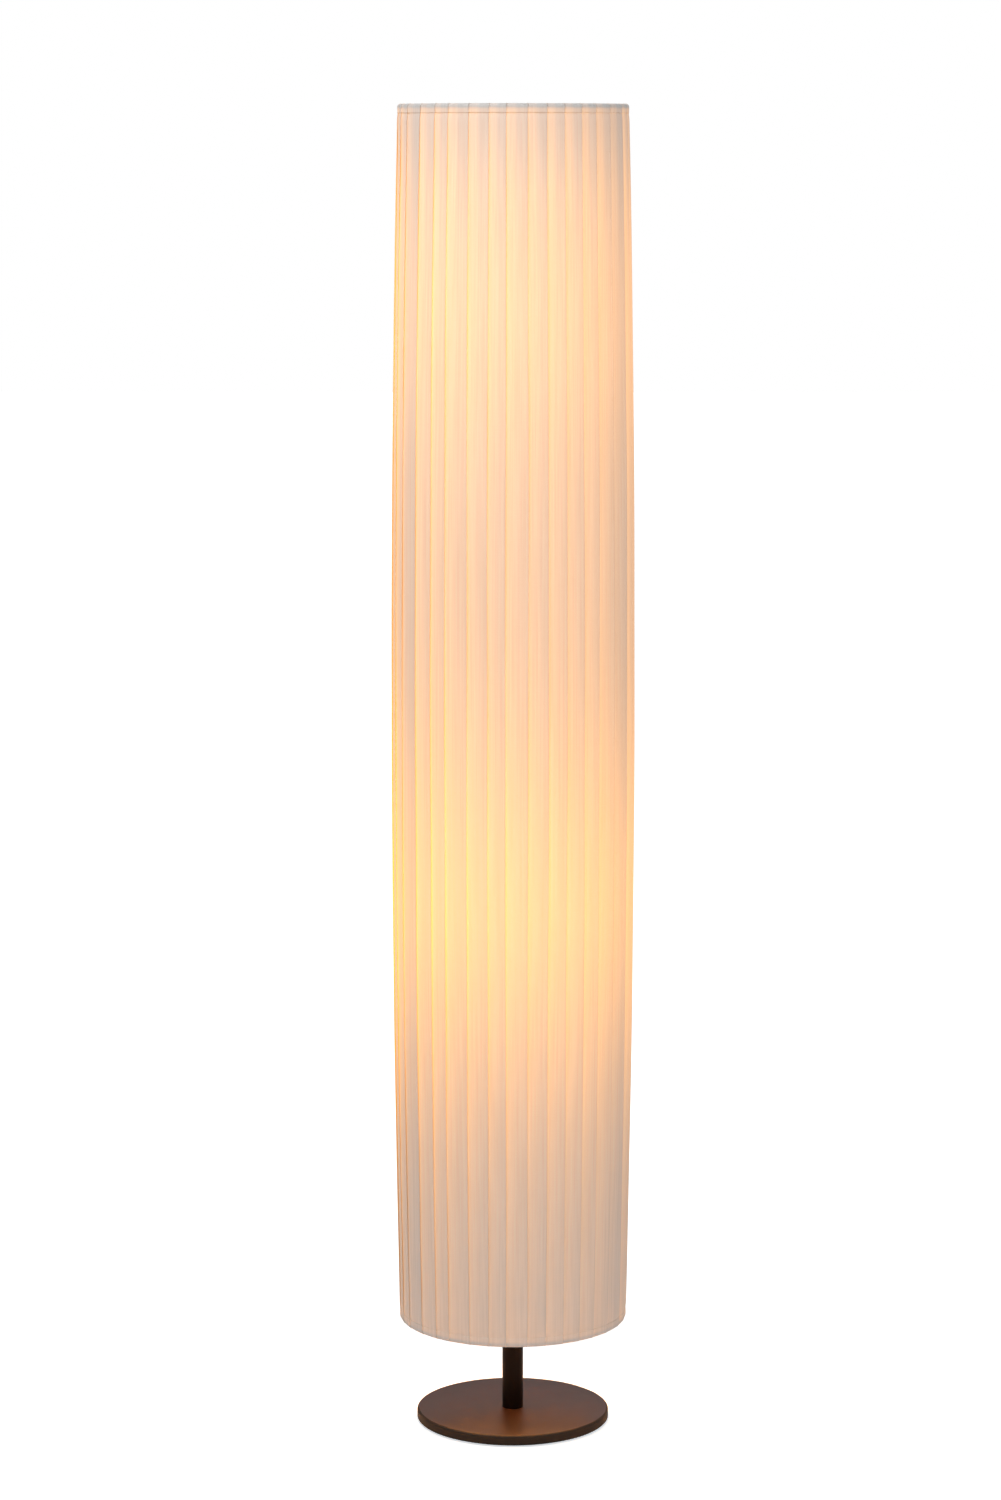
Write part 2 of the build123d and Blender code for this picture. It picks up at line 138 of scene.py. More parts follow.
# near the rim's height, as in the photo, tilted down a little and shifted for the rest
cameraSet = {
    "distance": 3.654,  # m from the stem's axis
    "eyeHeight": 1.172,
    "tilt": 5.247,  # degrees down
    "lens": 97.88,  # mm
    "sensor": 36.0,  # mm, the frame's long side
    "shiftY": -0.16,
    "frame": (1001, 1500),  # pixels
    "axisPixel": 513.0,  # the stem's axis in that frame
}


# turned aside by the angle whose tangent is the axis's offset over the lens, both in pixels
def makeCamera(s):
    data = bpy.data.cameras.new("camera")
    data.lens = s["lens"]
    data.sensor_width = s["sensor"]
    data.shift_y = s["shiftY"]
    wide, tall = s["frame"]
    aside = math.atan((s["axisPixel"] - wide / 2) / (s["lens"] / s["sensor"] * tall))
    camera = bpy.data.objects.new("camera", data)
    camera.location = (0.0, -s["distance"], s["eyeHeight"])
    camera.rotation_euler = (math.radians(90.0 - s["tilt"]), 0.0, aside)
    scene.collection.objects.link(camera)
    scene.camera = camera


makeCamera(cameraSet)
print("camera placed")


# two tones of a finish mixed by a noise of driftMm; gives the noise and the colour
def twoTones(tree, place, s):
    noise = {"Vector": place, "Scale": 1000 / s["driftMm"], "Detail": s["detail"]}
    drift = addNode(tree, "ShaderNodeTexNoise", inputs=noise).outputs["Fac"]
    tones = {"Factor": drift, "A": toLinear(s["dark"]), "B": toLinear(s["light"])}
    return drift, addNode(tree, "ShaderNodeMix", {"data_type": "RGBA"}, tones).outputs["Result"]


# roughness between two values, and a bump, both from one noise
def addGrain(tree, shader, noise, matts, strength, depth):
    ends = {"Value": noise, "To Min": matts[0], "To Max": matts[1]}
    rough = addNode(tree, "ShaderNodeMapRange", inputs=ends)
    tree.links.new(rough.outputs["Result"], shader.inputs["Roughness"])
    bump = addNode(tree, "ShaderNodeBump", inputs={"Strength": strength, "Distance": depth, "Height": noise})
    tree.links.new(bump.outputs["Normal"], shader.inputs["Normal"])
    return bump


# powder coat on steel, sprayed and baked: dark brown, satin, with a fine orange peel. Edges and sides,
# where the normal's Z falls from flatTop to edgeTop, get painted shade, a darker colour, and a duller finish.
coatSet = {
    "dark": "1a0d07",
    "light": "23120a",
    # painted shade: the darker colour given to edges and sides
    "side": "0e0703",
    "driftMm": 45.0,
    "detail": 3.0,  # octaves of the drift
    "mattLow": 0.33,
    "mattHigh": 0.45,
    "sideMatt": 0.7,
    "flatTop": 0.995,
    "edgeTop": 0.93,
    "gloss": 0.4,
    "peelMm": 1.6,
    "peelDetail": 2.0,
    "peelBump": 0.12,
    "peelDepth": 0.1 * mm,
}
# the same coat on the tubes, painted darker and with less gloss as painted shade:
# the stem gets little light under the lampshade and looks nearly black upright
shadedTubeCoatSet = {**coatSet, "dark": "0e0704", "light": "130a05", "side": "100905"}
shadedTubeCoatSet.update({"sideMatt": 0.38, "gloss": 0.12})


def powderCoat(name, s):
    material, tree, shader = startMaterial(name)
    place = addNode(tree, "ShaderNodeTexCoord").outputs["Object"]
    drift, colour = twoTones(tree, place, s)
    normal = addNode(tree, "ShaderNodeNewGeometry").outputs["Normal"]
    facing = addNode(tree, "ShaderNodeSeparateXYZ", inputs={"Vector": normal}).outputs["Z"]
    span = {"Value": facing, "From Min": s["edgeTop"], "From Max": s["flatTop"]}
    flat = addNode(tree, "ShaderNodeMapRange", inputs=span).outputs["Result"]
    # painted shade: the colour goes from the coat's own to the darker side colour as the normal turns from up
    shaded = {"Factor": flat, "A": toLinear(s["side"]), "B": colour}
    paintedShadeSides = addNode(tree, "ShaderNodeMix", {"data_type": "RGBA"}, shaded)
    tree.links.new(paintedShadeSides.outputs["Result"], shader.inputs["Base Color"])
    matts = {"Value": drift, "To Min": s["mattLow"], "To Max": s["mattHigh"]}
    rough = addNode(tree, "ShaderNodeMapRange", inputs=matts).outputs["Result"]
    duller = {"Value": flat, "To Min": s["sideMatt"], "To Max": rough}
    matt = addNode(tree, "ShaderNodeMapRange", inputs=duller)
    tree.links.new(matt.outputs["Result"], shader.inputs["Roughness"])
    fine = {"Vector": place, "Scale": 1000 / s["peelMm"], "Detail": s["peelDetail"]}
    peel = addNode(tree, "ShaderNodeTexNoise", inputs=fine).outputs["Fac"]
    ridge = {"Strength": s["peelBump"], "Distance": s["peelDepth"], "Height": peel}
    bump = addNode(tree, "ShaderNodeBump", inputs=ridge)
    tree.links.new(bump.outputs["Normal"], shader.inputs["Normal"])
    shader.inputs["Specular IOR Level"].default_value = s["gloss"]
    return material


# zinc plating on turned steel: grey with a faint yellow-blue cast and fine turning marks
zincSet = {
    "dark": "a9aba6",
    "light": "b7b39c",
    "driftMm": 9.0,
    "detail": 2.0,
    "markMm": 0.5,
    "turned": (0.1, 0.1, 1.0),  # marks drawn out across the axis
    "matts": (0.28, 0.48),
    "bump": 0.15,
    "depth": 0.1 * mm,
}


def zincSteel(s):
    material, tree, shader = startMaterial("zincPlatedSteel")
    place = addNode(tree, "ShaderNodeTexCoord").outputs["Object"]
    _, colour = twoTones(tree, place, s)
    tree.links.new(colour, shader.inputs["Base Color"])
    shader.inputs["Metallic"].default_value = 1.0
    drawn = addNode(tree, "ShaderNodeMapping", inputs={"Vector": place, "Scale": s["turned"]}).outputs[0]
    marks = addNode(tree, "ShaderNodeTexNoise", inputs={"Vector": drawn, "Scale": 1000 / s["markMm"]})
    addGrain(tree, shader, marks.outputs["Fac"], s["matts"], s["bump"], s["depth"])
    return material


# what the plain finishes share; their grain is drawn coarser than the real one, so that it shows
grainSet = {"metallic": 0.0, "detail": 3.0, "mattDrift": 0.06, "depth": 0.2 * mm, "threadDepth": 0.8 * mm}


# a plain moulded or coated surface: one colour that drifts a little, a fine grain, and its own gloss
def grainedSurface(name, own):
    s = {**grainSet, **own}
    material, tree, shader = startMaterial(name)
    place = addNode(tree, "ShaderNodeTexCoord").outputs["Object"]
    _, colour = twoTones(tree, place, s)
    tree.links.new(colour, shader.inputs["Base Color"])
    shader.inputs["Metallic"].default_value = s["metallic"]
    fine = {"Vector": place, "Scale": 1000 / s["grainMm"], "Detail": s["detail"]}
    grain = addNode(tree, "ShaderNodeTexNoise", inputs=fine).outputs["Fac"]
    matts = (s["matt"] - s["mattDrift"], s["matt"] + s["mattDrift"])
    bump = addGrain(tree, shader, grain, matts, s["bump"], s["depth"])
    if "threadMm" in s:  # bands across Z, one each pitch; the texture's own scale is pi / 10 per band
        wave = {"Vector": place, "Scale": math.pi / 10 / (s["threadMm"] * mm)}
        thread = addNode(tree, "ShaderNodeTexWave", {"bands_direction": "Z", "wave_profile": "SIN"}, wave)
        ridge = {"Strength": 1.0, "Distance": s["threadDepth"], "Height": thread.outputs["Fac"]}
        groove = addNode(tree, "ShaderNodeBump", inputs=ridge)
        tree.links.new(groove.outputs["Normal"], bump.inputs["Normal"])
    return material


# closed-cell foam: black, matt, small pores
foamSet = {"dark": "191817", "light": "262423", "driftMm": 20, "grainMm": 0.8, "matt": 0.88, "bump": 0.6}
foamPad = grainedSurface("foamPad", foamSet)
# moulded rubber: black with a dull bloom
rubberSet = {"dark": "141414", "light": "242323", "driftMm": 5, "grainMm": 0.5, "matt": 0.66, "bump": 0.3}
bushRubber = grainedSurface("bushRubber", rubberSet)
# soft plastic sheath of the leads: pale grey, smooth, slightly waxy
sheathSet = {"dark": "b9b5ab", "light": "c9c5bc", "driftMm": 30, "grainMm": 1.2, "matt": 0.42, "bump": 0.1}
leadSheath = grainedSurface("leadSheath", sheathSet)
# moulded holder resin: near black, a light spark texture
resinSet = {"dark": "171412", "light": "221e1b", "driftMm": 12, "grainMm": 0.7, "matt": 0.44, "bump": 0.25}
holderResin = grainedSurface("holderResin", resinSet)
# glazed porcelain: warm white, smooth and glossy
porcelainSet = {"dark": "dcd6c9", "light": "ebe6da", "driftMm": 8, "grainMm": 2.0, "matt": 0.16, "bump": 0.05}
glazedPorcelain = grainedSurface("glazedPorcelain", porcelainSet)
# rolled brass strip: yellow, fine drawing grain
brassSet = {"dark": "b08a45", "light": "c9a463", "driftMm": 6, "grainMm": 0.6, "matt": 0.34, "bump": 0.12}
brassSet["metallic"] = 1.0
rolledBrass = grainedSurface("rolledBrass", brassSet)
# the same brass, pressed with the socket's screw thread, deep inside the holder
threadedBrass = grainedSurface("threadedBrass", {**brassSet, "threadMm": 3.6})
# nickel on the bulb's thin rolled cap: pale and fairly bright
nickelSet = {"dark": "b2aea5", "light": "c6c2b8", "driftMm": 6, "grainMm": 0.6, "matt": 0.3, "bump": 0.1}
nickelSet["metallic"] = 1.0
nickelCap = grainedSurface("nickelCap", nickelSet)
# soldered tip under the cap: dull grey tin, a little uneven
solderSet = {"dark": "8f8e8a", "light": "a9a7a2", "driftMm": 3, "grainMm": 0.9, "matt": 0.46, "bump": 0.3}
solderSet["metallic"] = 1.0
solderTip = grainedSurface("solderTip", solderSet)
# black glass insulator under the cap
glassSet = {"dark": "0d0d0f", "light": "17171a", "driftMm": 6, "grainMm": 1.5, "matt": 0.14, "bump": 0.05}
blackGlass = grainedSurface("blackGlass", glassSet)
# white coating on the frame's wire: slightly cream, satin, with sags in the coat
wireSet = {"dark": "d6d1c6", "light": "e6e2d8", "driftMm": 15, "grainMm": 1.5, "matt": 0.38, "bump": 0.2}
coatedWire = grainedSurface("coatedWire", wireSet)

# opal glass, lit from inside: milky skin, and a warm glow that falls off towards the neck
opalSet = {
    "dark": "efe9dd",
    "light": "f7f2e8",
    "driftMm": 14.0,
    "detail": 2.0,
    "glow": "ffc074",
    "strength": 0.85,
    "neckShare": 0.25,
    "fall": 50.0 * mm,  # from the globe's middle down to its neck
    "matt": 0.22,
}


def opalGlass(middle, s):
    material, tree, shader = startMaterial("opalGlassLit")
    place = addNode(tree, "ShaderNodeTexCoord").outputs["Object"]
    _, colour = twoTones(tree, place, s)
    tree.links.new(colour, shader.inputs["Base Color"])
    height = addNode(tree, "ShaderNodeSeparateXYZ", inputs={"Vector": place}).outputs["Z"]
    values = {"Value": height, "From Min": middle - s["fall"], "From Max": middle}
    values.update({"To Min": s["neckShare"] * s["strength"], "To Max": s["strength"]})
    fall = addNode(tree, "ShaderNodeMapRange", {"interpolation_type": "SMOOTHSTEP"}, values)
    tree.links.new(fall.outputs["Result"], shader.inputs["Emission Strength"])
    shader.inputs["Emission Color"].default_value = toLinear(s["glow"])
    shader.inputs["Roughness"].default_value = s["matt"]
    return material


# middle height of a bulb's globe: its top less half its width
def globeHeight(level):
    low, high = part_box(level + "_bulb_globe")
    return high.z - (high.x - low.x) / 2


bulbLow, bulbHigh = globeHeight("lower"), globeHeight("upper")
coat = powderCoat("powderCoatSteel", coatSet)
shadedTubeCoat = powderCoat("powderCoatTubeShaded", shadedTubeCoatSet)
zinc = zincSteel(zincSet)
dress(coat, "base_plate", "lower_bracket", "upper_bracket", "top_nut")
dress(shadedTubeCoat, "stem_lower_tube", "stem_middle_tube", "stem_upper_tube")
dress(foamPad, "base_pad")
dress(zinc, "base_washer", "base_nut", "base_nipple", "stem_plugs", "stem_nipples")
dress(zinc, "top_nipple", "holder_nuts", "holder_nipples", "top_washer")
dress(bushRubber, "cord_inlet", "lead_grommets")
dress(coatedWire, "shade_top_ring", "shade_bottom_ring", "shade_struts", "spider_hub", "spider_arms")
for level, middle in (("lower", bulbLow), ("upper", bulbHigh)):
    dress(leadSheath, level + "_lead")
    dress(holderResin, level + "_holder_cap", level + "_holder_shell")
    dress(glazedPorcelain, level + "_holder_block")
    dress(threadedBrass, level + "_holder_socket")
    dress(rolledBrass, level + "_holder_contact")
    dress(opalGlass(middle, opalSet), level + "_bulb_globe")
    dress(solderTip, level + "_bulb_contact")
    dress(blackGlass, level + "_bulb_insulator")
print("finishes on the CAD pieces")

# the bulbs' screw caps
capSet = {
    "wall": 0.8 * mm,  # chamfer at the foot, and the CAD cap's wall
    "collar": 1.0 * mm,  # half height of the rolled edge at the top
    "pitch": 3.6 * mm,
    "threadDepth": 0.62 * mm,
    "plain": 2.4 * mm,  # smooth stretch at both ends of the thread
    "skin": 0.15 * mm,
    "columns": 96,
    "wallRows": 90,
    "rollRows": 10,
}


# a rolled cap: flat foot, chamfer, then a wall whose radius is the crest less half a cosine of the
# helix z / pitch - angle / turn, faded out at both ends, and half an ellipse for the collar
def makeScrewCap(level, s):
    low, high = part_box(level + "_bulb_cap")
    middle = (low + high) / 2
    crest = (high.x - low.x - s["collar"]) / 2
    turn = np.linspace(0, 2 * np.pi, s["columns"] + 1)[:-1]
    foot = crest - s["wall"] - np.array([s["collar"], 0.0])
    wall = np.linspace(low.z + s["wall"], high.z - 2 * s["collar"], s["wallRows"])
    roll = np.linspace(-np.pi / 2, np.pi / 2, s["rollRows"] + 1)[1:]
    fade = smoothStep(np.clip(np.minimum(wall - wall[0], wall[-1] - wall) / s["plain"], 0, 1))
    helix = 2 * np.pi * wall[:, None] / s["pitch"] - turn
    threaded = crest - s["threadDepth"] * fade[:, None] * (1 - np.cos(helix)) / 2
    rolled = crest + s["collar"] / 2 * np.cos(roll)
    radius = np.concatenate([foot[:, None] + 0 * turn, threaded, rolled[:, None] + 0 * turn])
    z = np.concatenate([0 * foot + low.z, wall, high.z - s["collar"] * (1 - np.sin(roll))])
    x, y = middle.x + radius * np.cos(turn), middle.y + radius * np.sin(turn)
    points = np.stack([x, y, np.broadcast_to(z[:, None], radius.shape)], -1)
    cap = gridPiece(level + "_screw_cap", points, closeColumns=True)
    addWall(cap, s["skin"])
    return cap


for level in ("lower", "upper"):
    screwCap = makeScrewCap(level, capSet)
    dress(nickelCap, screwCap)
    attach(screwCap, level + "_bulb")
    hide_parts(level + "_bulb_cap")
print("screw caps made")

# the pleated cloth; the rims, the hems' height and the bulge are the CAD shade's own
shadeSet = {
    "bottom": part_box("shade_bottom_hem")[0].z,
    "rimRadius": hemHigh.x,
    "bulge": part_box("shade_panel_right")[1].x - hemHigh.x,
    "hemCover": hemHigh.z - hemLow.z,
    "underHem": 2.6 * mm,  # from the rim to the cloth's cut edge, inside the hem
    "panels": 3,
    "pleatsPerPanel": 11,
    "seamPitch": 12.86,  # degrees, the wide pleat over each seam
    "firstSeam": -28.25,  # degrees from +X, middle of the first seam pleat
    "step": 1.2 * mm,  # rise of each pleat over the next
    "innerFold": 0.45,  # share of the pleat where the cloth under it turns back
    "backDepth": 0.55,  # share of the step between the face and the cloth that runs back
    "layer": 0.3 * mm,  # cloth thickness
    "fold": 0.02,  # bulge of a fold past its edge, as a share of the pleat
    "jitter": 0.75,  # degrees, fold edges off their even places
    "jitterMost": 1.3,
    "wander": 0.14,  # degrees, fold edges that drift on their way up
    "slowWaves": 1.3,  # waves of that drift over the height
    "quickWaves": 3.1,
    "quickShare": 0.6,
    "pressed": 0.55,  # share of the step left where the hems hold the pleats
    "pressLength": 35.0 * mm,  # where the pleats are at their full step again
    "tuck": 0.5 * mm,  # cloth pulled in under the hems
    "tuckLength": 5.0 * mm,
    "ripple": 0.1 * mm,  # slack of the cloth between the rings
    "rippleWaves": 4.3,
    "rippleTurn": 5.0,  # radians from one pleat's ripple to another's, by its tone
    "tongue": (-0.35, -0.05),  # shares of the seam pleat that lie under the panel before
    "seed": 7,
}
# points of the cloth's grid: finer rows by the hems, and columns along each stretch of a pleat
clothGrid = {"endShare": 0.02, "endRows": 12, "midRows": 84, "face": 12, "fold": 4, "back": 5, "out": 3}
clothGrid["tongue"] = 4
# places on the ramp below of the cloth out of sight: inner fold, the run out from it, and tongue
phaseSet = {"innerFold": 1.6, "out": 0.4, "tongue": 1.9}


# outermost radius at a height: a shallow arc from rim to rim
def barrelRadius(z):
    share = (z - shadeSet["bottom"]) / (rimZ - shadeSet["bottom"])
    return shadeSet["rimRadius"] + shadeSet["bulge"] * (1 - (2 * share - 1) ** 2)


# places of one panel's fold edges, the wide seam pleat first, with the sewer's small errors:
# a random offset per edge, a random tone per pleat and two slow waves of drift up each edge
def planPanel(index, s):
    rng = np.random.default_rng(s["seed"] + index)
    turn = 360.0 / s["panels"]
    pitch = (turn - s["seamPitch"]) / s["pleatsPerPanel"]
    start = s["firstSeam"] - s["seamPitch"] / 2 + index * turn
    edges = start + np.concatenate([[0.0], s["seamPitch"] + pitch * np.arange(s["pleatsPerPanel"] + 1)])
    errors = rng.normal(0, s["jitter"], len(edges) - 2)
    edges[1:-1] += np.clip(errors, -s["jitterMost"], s["jitterMost"])
    tones = rng.normal(0, 1, len(edges) - 1)
    waves = rng.uniform(0, 2 * np.pi, (2, len(edges)))
    return edges, tones, waves


# angles of the edges at relative heights 0 to 1, one row per height: the even places plus a slow
# and a quick sine of the height, none on a panel's first and last edge
def edgeAngles(plan, height, s):
    edges, _, waves = plan
    slow = np.sin(2 * np.pi * s["slowWaves"] * height[:, None] + waves[0])
    quick = s["quickShare"] * np.sin(2 * np.pi * s["quickWaves"] * height[:, None] + waves[1])
    drift = slow + quick
    drift[:, [0, -1]] = 0
    return edges[None, :] + s["wander"] * drift


# half circle of a fold in section: how far it bulges and how far down it has come, 0 to 1
def foldTurn():
    turn = np.linspace(0, np.pi, clothGrid["fold"] + 2)[1:-1]
    return np.sin(turn), (1 - np.cos(turn)) / 2


# one pleat in section, as (share of its width, depth in steps, phase 0 to 2 along the cloth).
# The cloth runs out along the visible face, folds, comes back about half a step lower, folds again
# and runs out a full step lower, where it becomes the next pleat's face.
def pleatSection(s):
    inner, deep = s["innerFold"], s["backDepth"]
    face = np.linspace(0, 1, clothGrid["face"])
    bulge, down = foldTurn()
    back = np.linspace(1, inner, clothGrid["back"])
    out = np.linspace(inner, 1, clothGrid["out"] + 1)[:-1]
    share = np.concatenate([face, 1 + s["fold"] * bulge, back, inner - s["fold"] * bulge, out])
    below = np.concatenate([0 * face, deep * down, 0 * back + deep, deep + (1 - deep) * down, 0 * out + 1])
    turned = 0 * bulge + phaseSet["innerFold"]
    under = phaseSet["innerFold"] + phaseSet["out"] * (out - inner)
    phase = np.concatenate([face, 0 * bulge + 1, 2 - back, turned, under])
    return share, (1 - share) + below, phase


# carries sections round and up: rows of radius and angle in degrees, and their heights
def wrapRound(radius, angle, z):
    turn = np.radians(angle)
    return np.stack([radius * np.cos(turn), radius * np.sin(turn), np.broadcast_to(z, radius.shape)], -1)


# one panel of cloth: its pleats side by side, then a short tongue under its neighbour's last fold.
# Each point's radius is the barrel's, less the tuck, less its depth in pressed steps, plus a ripple.
def makeClothPanel(index, s):
    plan = planPanel(index, s)
    endShare = clothGrid["endShare"]
    ends = np.linspace(0, endShare, clothGrid["endRows"])
    between = np.linspace(endShare, 1 - endShare, clothGrid["midRows"])[1:-1]
    height = np.concatenate([ends, between, 1 - ends[::-1]])
    low, high = s["bottom"] + s["underHem"], rimZ - s["underHem"]
    z = low + (high - low) * height
    angles = edgeAngles(plan, height, s)
    share, depth, phase = pleatSection(s)
    tongue = np.linspace(*s["tongue"], clothGrid["tongue"])
    under = angles[:, :1] + tongue * (angles[:, 1:2] - angles[:, :1])
    columns = [(under, 1 - tongue, 0 * tongue + phaseSet["tongue"], 0)]
    last = len(plan[1]) - 1
    lastKept = clothGrid["face"] + clothGrid["fold"] + 2  # the last pleat ends just under its own fold
    for k in range(last + 1):
        keep = lastKept if k == last else len(share)
        width = angles[:, k + 1 : k + 2] - angles[:, k : k + 1]
        columns.append((angles[:, k : k + 1] + share[:keep] * width, depth[:keep], phase[:keep], k))
    angle = np.concatenate([c[0] for c in columns], 1)
    shape = angle.shape
    drop = np.broadcast_to(np.concatenate([c[1] for c in columns]), shape)
    phases = np.broadcast_to(np.concatenate([c[2] for c in columns]), shape)
    pleat = np.concatenate([np.full(len(c[1]), c[3]) for c in columns])
    tones = np.broadcast_to(plan[1][pleat], shape)
    seams = np.broadcast_to((pleat == 0).astype(float), shape)
    # towards the rims the pleats are pressed flatter and tucked in under the hems
    inside = np.minimum(z - s["bottom"], rimZ - z)
    loose = np.clip((inside - s["hemCover"]) / s["pressLength"], 0, 1)
    press = s["pressed"] + (1 - s["pressed"]) * smoothStep(loose)
    tuck = s["tuck"] * np.clip(1 - (inside - s["hemCover"]) / s["tuckLength"], 0, 1)
    waves = 2 * np.pi * s["rippleWaves"] * height[:, None] + s["rippleTurn"] * tones
    ripple = s["ripple"] * np.sin(waves) * loose[:, None]
    radius = barrelRadius(z)[:, None] - tuck[:, None] - s["step"] * press[:, None] * drop + ripple
    points = wrapRound(radius, angle, z[:, None])
    uvs = np.stack([phases, np.broadcast_to(height[:, None], shape)], -1)
    name = "shade_cloth_" + ("right", "rear", "left")[index]
    piece = gridPiece(name, points, uvs, {"tone": tones, "seam": seams})
    addWall(piece, s["layer"]).material_offset = 1
    middle = points[len(z) // 2]
    return piece, float(np.hypot(*np.diff(middle[:, :2], axis=0).T).sum()), float(z[-1] - z[0])


# the lit cloth. Its off-white takes the room's light, and the bulbs glow through it as a bell
# round each bulb's height, more where the pleat is one layer thick and most beside each fold.
# A range is the low and high of what it reads, then the low and high of what it gives.
clothSet = {
    "white": "ece6e2",  # plain weave polyester, off-white
    "thin": "d8d0ca",
    "matt": 0.85,
    "gloss": 0.25,
    "glow": "ffa500",  # what passes the cloth, over its own white: amber
    "insideGlow": "ffd59a",
    "lowPeak": 0.84,
    "highPeak": 0.60,
    "reach": 208.0 * mm,  # half width of each bell
    "sway": 0.2,
    "seamRange": (0, 1, 1, 0.76),
    "toneRange": (-2, 2, 0.93, 1.07),
    "contrastRange": (0.25, 0.95, 1.65, 0.8),  # the brighter the glow, the less the layers tell
    "wireRange": (0, 1, 1, 0.05),  # no glow passes the ring's wire
    # near the rim the folds are pressed flat, so the doubled half of each pleat shows as a grey band
    "flatRange": (rimZ - 140 * mm, rimZ - 30 * mm, 0, 0.12),
    "bandRange": (0.42, 0.56, 1, -1),
    "topRange": (rimZ - 75 * mm, rimZ, 1, 0.75),  # the glow ends before the rim
    "lowRange": (bulbLow - 220 * mm, bulbLow, 0.8, 1),  # painted shadow: the holder and its bracket stand there
    "insideGain": 0.25,  # the bulbs light the inner face, so its layers hardly tell
    "insideBase": 0.55,
    "foldShadeRange": (0.95, 0.97, 1, 0.8),  # painted shade in the crease along the fold's edge
    # streaks of thick and thin yarn, drawn coarser than the real yarn, so that they show
    "warpMm": 1.8,
    "warpDrawn": (1.0, 1.0, 0.012),
    "warpRange": (0.25, 0.75, 0.95, 1.05),
    "weftMm": 1.4,
    "weftDrawn": (0.04, 0.04, 1.0),
    "weftRange": (0.25, 0.75, 0.985, 1.015),
    "weaveBump": 0.3,
    "weaveDepth": 0.2 * mm,
}
# glow along the pleat's face: a bright line beside the fold above it, one layer, three layers, edge
pleatGlow = [
    (0.0, 0.95),
    (0.015, 1.24),
    (0.08, 1.19),
    (0.2, 1.1),
    (0.42, 1.04),
    (0.62, 0.94),
    (0.93, 0.88),
    (0.965, 0.8),
    (1.0, 0.76),
]
rangeEnds = ("From Min", "From Max", "To Min", "To Max")


